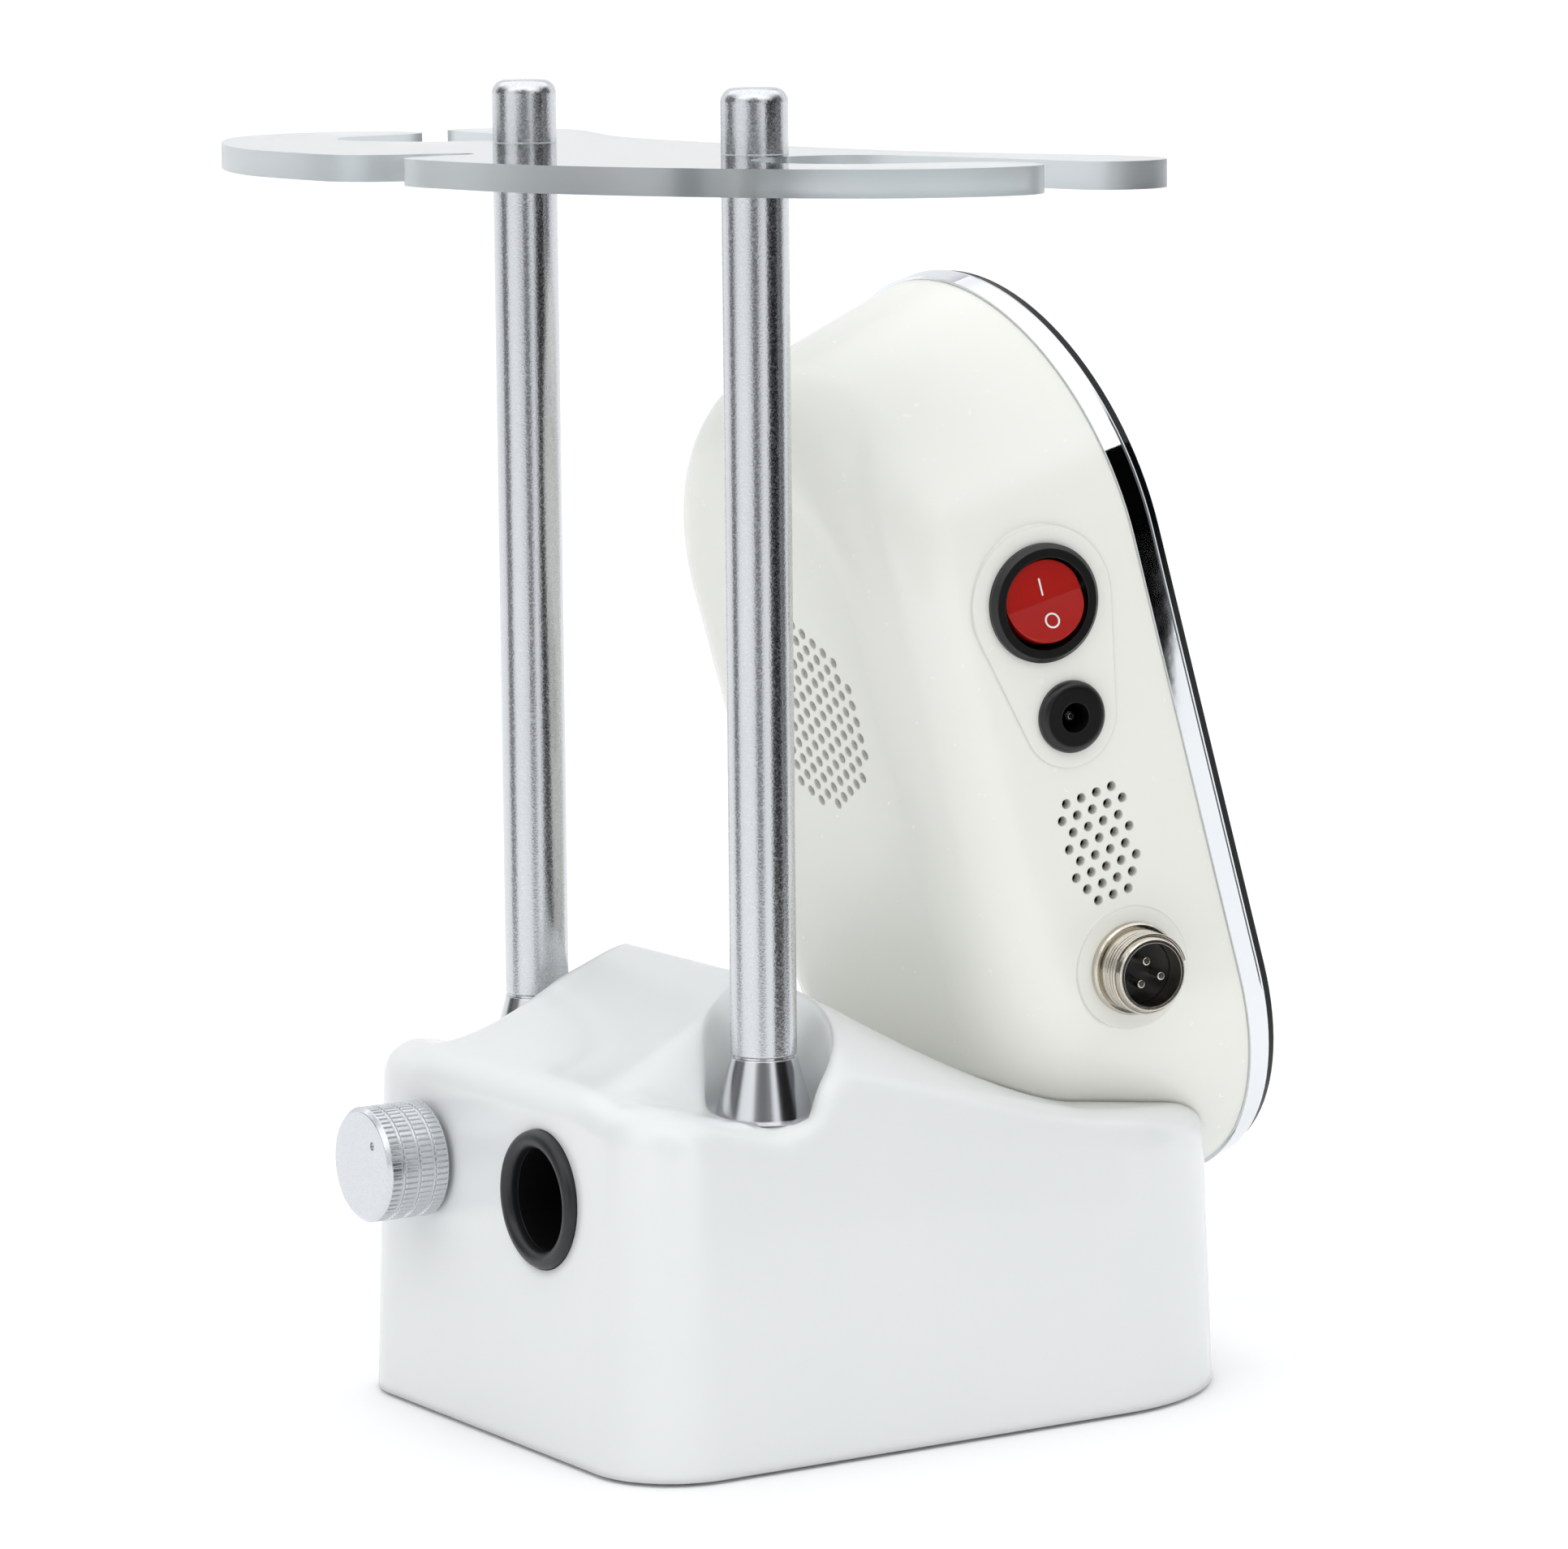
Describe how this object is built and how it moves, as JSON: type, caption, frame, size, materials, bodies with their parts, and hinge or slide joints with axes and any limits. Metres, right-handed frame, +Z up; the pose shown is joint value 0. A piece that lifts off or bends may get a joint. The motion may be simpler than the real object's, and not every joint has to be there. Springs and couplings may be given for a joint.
{
  "type": "endodontic motor",
  "caption": "Dental root canal motor: leaning control head with side sockets in a weighted base, clear handpiece holder on posts and a rear knob.",
  "frame": {"origin": "on the table under the middle of the unit's overall box", "axes": "+Z up, -Y towards the front panel, +X to the user's right as they face the front panel's back"},
  "size_m": [0.2486, 0.1832, 0.2569],
  "materials": {
    "white_abs": "gloss",
    "grey_abs": "fine texture",
    "foot_rubber": "matte",
    "steel_plate": "zinc plated",
    "board_green": "solder mask",
    "brass_spacer": "plain",
    "zinc": "zinc plated",
    "satin_aluminium": "bead blasted and anodised",
    "bright_aluminium": "turned",
    "clear_acrylic": "clear, polished",
    "black_rubber": "satin",
    "black_plastic": "satin",
    "nickel": "nickel plated",
    "knob_aluminium": "satin face, bright flutes",
    "ivory_abs": "gloss",
    "chrome": "mirror",
    "black_gloss": "piano gloss",
    "display_glass": "dark glass",
    "paper_cone": "matte",
    "red_rocker": "translucent red"
  },
  "bodies": {
    "base": {"base_board": "board_green", "base_board_screws": "zinc", "base_cover": "grey_abs", "base_feet": "foot_rubber", "base_shell": "white_abs", "base_weight": "steel_plate", "board_spacers": "brass_spacer", "cap_left": "satin_aluminium", "cap_right": "satin_aluminium", "cover_screws": "zinc", "ferrule_left": "bright_aluminium", "ferrule_right": "bright_aluminium", "holder_plate": "clear_acrylic", "post_left": "satin_aluminium", "post_right": "satin_aluminium", "pot_body": "zinc", "pot_nut": "zinc", "rod_nuts": "zinc", "rod_washers": "zinc", "socket_contact": "nickel", "socket_cup": "black_plastic", "socket_pin": "nickel", "socket_ring": "black_rubber", "tie_rod_left": "zinc", "tie_rod_right": "zinc"},
    "head": {"rear_housing": "ivory_abs", "chrome_trim": "chrome", "front_panel": "black_gloss", "display_window": "display_glass", "display_module": "zinc", "front_frame": "black_plastic", "frame_screws": "zinc", "main_board": "board_green", "standoffs": "brass_spacer", "main_board_screws": "zinc", "speaker_frame": "zinc", "speaker_cone": "paper_cone", "switch_body": "black_plastic", "switch_blades": "brass_spacer", "jack_body": "black_plastic", "jack_pin": "nickel", "jack_nut": "zinc", "plug_shell": "nickel", "plug_insert": "black_plastic", "plug_core": "black_plastic", "plug_pins": "brass_spacer", "plug_nut": "nickel"},
    "knob": {"knob": "knob_aluminium", "pot_shaft": "zinc", "knob_setscrew": "zinc"},
    "rocker": {"rocker": "red_rocker", "rocker_pin": "zinc"}
  },
  "joints": [
    {"name": "head_lift", "type": "slide", "parent": "base", "child": "head", "axis": [0, 0, 1], "range_m": [0, 0.04]},
    {"name": "knob_turn", "type": "hinge", "parent": "base", "child": "knob", "pos_m": [0.026, 0.06845, 0.05], "axis": [0, -1, 0], "range_deg": [-195, 105]},
    {"name": "rocker_tilt", "type": "hinge", "parent": "head", "child": "rocker", "pos_m": [-0.04577, -0.02671, 0.15822], "axis": [-0.1191, -0.9539, 0.2753], "range_deg": [0, 22]}
  ]
}
